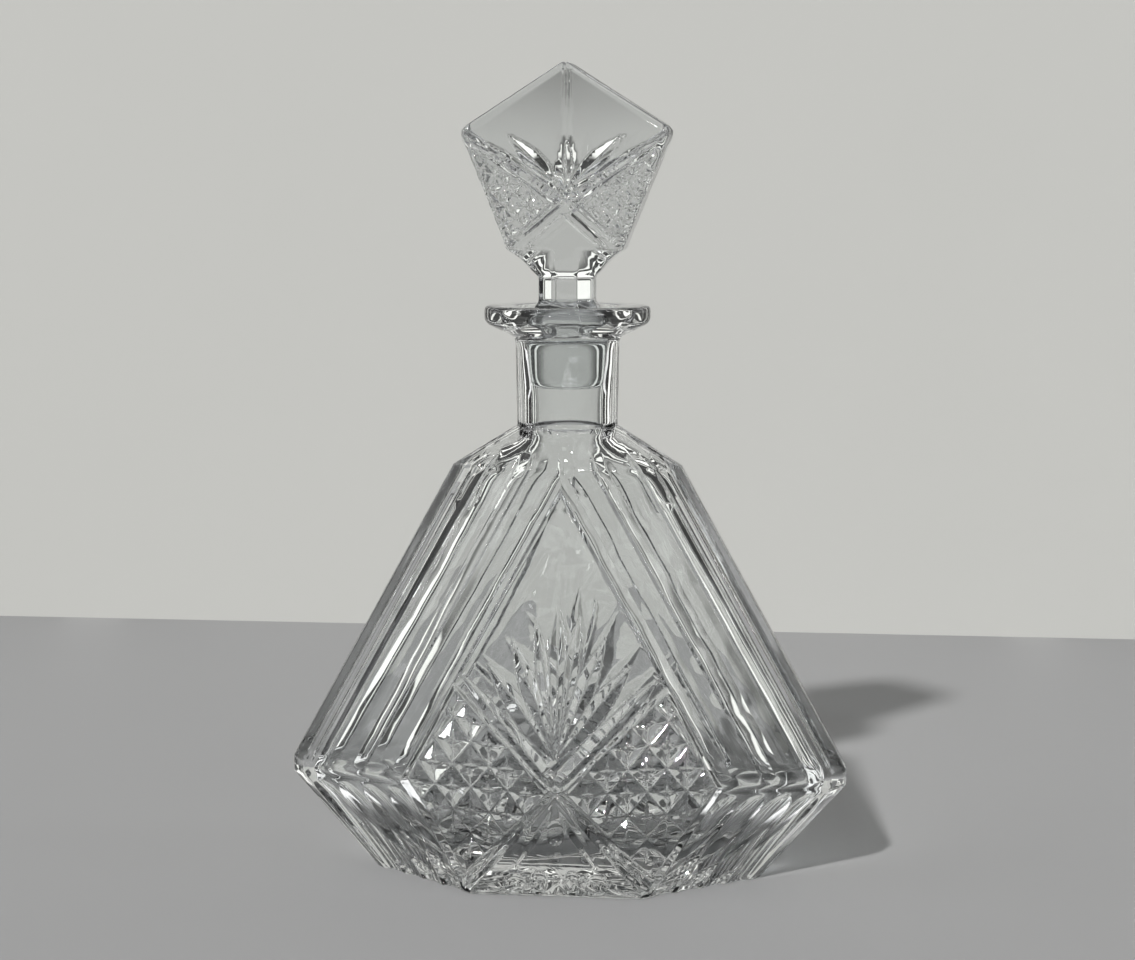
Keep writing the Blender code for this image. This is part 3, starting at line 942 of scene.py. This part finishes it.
def add_piece(mesh, slot, tint, seed, body, cad_node):
    """Puts a piece of glass in the place of its solid, on the same body and material slot."""
    obj = add_object(mesh.name, mesh)
    mesh.materials.append(glass(slot, tint, seed))
    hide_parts(cad_node)
    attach(obj, body)


add_piece(build_body(), "body_glass", (0.925, 0.940, 0.938), 0.0, "decanter", "decanter_body")
add_piece(build_stopper(), "stopper_glass", (0.80, 0.822, 0.825), 3.0, "stopper", "stopper")


# ---------------------------------------------------------------- studio

# Brightness that the glass sees at each tangent of the angle from the line of sight: light in the room's
# background, and painted light and shade in the colour of the floor and backdrop. A bright middle, a dark
# surround and three bright rings give the facets both dark edges and clear highlights.
WINDOW = (
    (0.0, 1.0), (0.125, 1.0), (0.16, 0.50), (0.185, 0.22),
    (0.189, 1.8), (0.206, 1.8), (0.210, 0.12), (0.262, 0.10),
    (0.267, 2.0), (0.318, 2.0), (0.323, 0.10), (0.43, 0.08),
    (0.436, 1.8), (0.49, 1.8), (0.496, 0.08), (1.0, 0.04),
)


def view_window(tree, widest, ring_gain, matt=True):
    """1 for the camera itself, and the window's brightness for rays from the glass. In a matt surface's
    colour this brightness is painted light and shade, and in the room's background it is light.

    The window ends at the tangent widest, and its rings stand ring_gain times further above 1. A matt
    surface has 1 for light from other matt surfaces too. The second result is the depth from the camera."""
    place = tree.nodes.new("ShaderNodeTexCoord")
    split = node(tree, "ShaderNodeSeparateXYZ", Vector=place.outputs["Camera"])
    flat = node(tree, "ShaderNodeCombineXYZ", X=split.outputs["X"], Y=split.outputs["Y"])
    spread = tree.nodes.new("ShaderNodeVectorMath")
    spread.operation = "LENGTH"
    feed(tree, spread.inputs[0], flat.outputs["Vector"])
    tangent = calculated(tree, "DIVIDE", spread.outputs["Value"], split.outputs["Z"])
    position = node(tree, "ShaderNodeMapRange", Value=tangent, From_Max=widest)
    brightest = 1 + ring_gain
    stops = []
    for start, level in WINDOW:
        shown = min(level, 1.0) + max(level - 1.0, 0.0) * ring_gain
        stops.append((start, [shown / brightest] * 3))
    window = ramp(tree, position.outputs["Result"], stops)
    full = node(tree, "ShaderNodeMapRange", Value=window, To_Max=brightest)
    rays = tree.nodes.new("ShaderNodeLightPath")
    plain_ray = rays.outputs["Is Camera Ray"]
    if matt:
        plain_ray = calculated(tree, "MAXIMUM", plain_ray, rays.outputs["Is Diffuse Ray"])
    choice = tree.nodes.new("ShaderNodeMix")
    feed(tree, choice.inputs[0], plain_ray)
    feed(tree, choice.inputs[2], full.outputs["Result"])
    feed(tree, choice.inputs[3], 1.0)
    return choice.outputs[0], split.outputs["Z"]


def matt_with_painted_window(name, colour, roughness, ring_gain, one_sided=False):
    """A matt surface with a little mottling. Its colour carries painted light and shade where the glass sees
    it: a painted dark surround, and painted bright rings that are brighter than any paint. A one-sided one
    can't be seen from behind.
    """
    material = bpy.data.materials.new(name)
    material.use_nodes = True
    tree = material.node_tree
    place = tree.nodes.new("ShaderNodeTexCoord")
    mottle = node(tree, "ShaderNodeTexNoise", Vector=place.outputs["Object"], Scale=3.0, Detail=4.0)
    darker = [c * 0.97 for c in colour]
    mottled = ramp(tree, mottle.outputs["Fac"], ((0.25, darker), (0.75, colour)))
    # Painted light and shade: rays from the glass see this colour darkened round the line of sight and raised
    # in bright rings, while the camera sees the surface's own colour.
    shown, _ = view_window(tree, 1.0, ring_gain)
    shader = tree.nodes["Principled BSDF"]
    feed(tree, shader.inputs["Base Color"], scaled(tree, mottled, shown))
    shader.inputs["Roughness"].default_value = roughness
    shader.inputs["Specular IOR Level"].default_value = 0.15
    if one_sided:
        behind = tree.nodes.new("ShaderNodeNewGeometry").outputs["Backfacing"]
        surface = clear_where(tree, behind, shader, (1, 1, 1))
        feed(tree, tree.nodes["Material Output"].inputs["Surface"], surface)
    return material


def add_stage(name, corners, material):
    mesh = bpy.data.meshes.new(name)
    mesh.from_pydata(corners, [], [(0, 1, 2, 3)])
    mesh.materials.append(material)
    add_object(name, mesh)


STAGE_REACH = 5.0
WALL_Y = 0.44
WALL_HEIGHT = 2.6
# The floor and backdrop carry painted light and shade in their colour where the glass sees them.
add_stage(
    "floor",
    [(x * STAGE_REACH, y * STAGE_REACH, 0) for x, y in ((-1, -1), (1, -1), (1, 1), (-1, 1))],
    matt_with_painted_window("floor_paint", (0.28, 0.28, 0.28), 0.7, 3.0),
)
add_stage(
    "backdrop",
    [(x * STAGE_REACH, WALL_Y, z * WALL_HEIGHT) for x, z in ((-1, 0), (1, 0), (1, 1), (-1, 1))],
    matt_with_painted_window("backdrop_paint", (0.425, 0.425, 0.405), 0.8, 1.6, one_sided=True),
)


def aim(obj, direction):
    """Points a light or the camera along direction."""
    obj.rotation_euler = Vector(direction).to_track_quat("-Z", "Y").to_euler()


LIGHTS_AIM = Vector((0, 0, 0.12))


def add_softbox(name, place, side, power):
    """A square lamp at place that faces the decanter."""
    light = bpy.data.lights.new(name, "AREA")
    light.shape = "RECTANGLE"
    light.size = side
    light.size_y = side
    light.energy = power
    obj = add_object(name, light)
    obj.location = place
    aim(obj, LIGHTS_AIM - Vector(place))


# The key light comes from above in front, a little from the left
sun = add_object("key", bpy.data.lights.new("key", "SUN"))
sun.data.energy = 4.0
sun.data.angle = np.radians(3.0)
aim(sun, (0.46, 1.40, -1.12))

# Soft panels, each as place, side and brightness
PANELS = (
    ((0.7, -0.7, 1.5), 0.30, 2.5), ((-1.4, -0.6, 0.5), 0.35, 1.8), ((1.3, -1.0, 0.35), 0.30, 1.8),
    ((0.0, -1.7, 0.9), 0.35, 1.8), ((-0.9, 0.0, 1.3), 0.30, 1.8), ((1.2, -0.1, 1.1), 0.30, 1.8),
)
for number, (panel, side, brightness) in enumerate(PANELS):
    add_softbox(f"panel_{number}", panel, side, np.pi * brightness * side**2)

# Small lamps that make sparks in the facets
SPARK_SIDE = 0.08
SPARK_POWER = 0.4
SPARK_PLACES = (
    (-1.3, -0.9, 0.9), (1.2, -1.2, 0.8), (0.3, -1.7, 0.5), (-0.7, -0.2, 1.6), (1.0, -0.1, 1.4),
    (-0.5, 0.0, 1.5), (1.3, -0.1, 0.6), (-1.4, -0.1, 0.5), (-0.5, -1.6, 0.2), (0.2, 0.0, 1.7),
)
for number, spark in enumerate(SPARK_PLACES):
    add_softbox(f"spark_{number}", spark, SPARK_SIDE, SPARK_POWER)

# The room's glow by height, from straight down to straight up
ROOM_GLOW = (
    (0.0, (0.02, 0.02, 0.022)), (0.5, (0.03, 0.03, 0.0315)), (0.6, (0.07, 0.07, 0.0735)),
    (0.8, (0.16, 0.16, 0.168)), (1.0, (0.30, 0.30, 0.30)),
)
WINDOW_COLOUR = (0.44, 0.44, 0.42)


def make_room():
    """The world: a dim room, brighter overhead, with the window's light added ahead of the camera."""
    world = bpy.data.worlds.new("room")
    world.use_nodes = True
    tree = world.node_tree
    place = tree.nodes.new("ShaderNodeTexCoord")
    split = node(tree, "ShaderNodeSeparateXYZ", Vector=place.outputs["Generated"])
    height = node(tree, "ShaderNodeMapRange", Value=split.outputs["Z"], From_Min=-1.0, From_Max=1.0)
    lit, depth = view_window(tree, 1.8, 1.5, matt=False)
    ahead = calculated(tree, "GREATER_THAN", depth, 0.0)
    mix = tree.nodes.new("ShaderNodeMix")
    mix.data_type = "RGBA"
    mix.blend_type = "ADD"
    feed(tree, mix.inputs[0], 1.0)
    feed(tree, mix.inputs[6], ramp(tree, height.outputs["Result"], ROOM_GLOW))
    feed(tree, mix.inputs[7], scaled(tree, WINDOW_COLOUR, calculated(tree, "MULTIPLY", lit, ahead)))
    feed(tree, tree.nodes["Background"].inputs["Color"], mix.outputs[2])
    return world


scene = bpy.context.scene
scene.world = make_room()

# The camera looks down a little, from slightly to the right
camera = add_object("camera", bpy.data.cameras.new("camera"))
camera.location = (0.0917, -0.7742, 0.2176)
camera.data.lens = 79
camera.data.clip_start = 0.01
aim(camera, Vector((0.0, 0.0, 0.126)) - camera.location)
scene.camera = camera

# Deep glass needs many bounces
scene.cycles.max_bounces = 28
scene.cycles.transmission_bounces = 28
scene.cycles.glossy_bounces = 8
scene.cycles.transparent_max_bounces = 24
scene.cycles.caustics_refractive = True
scene.cycles.caustics_reflective = False
scene.cycles.sample_clamp_indirect = 4.0
scene.cycles.use_denoising = True
scene.view_settings.view_transform = "Standard"
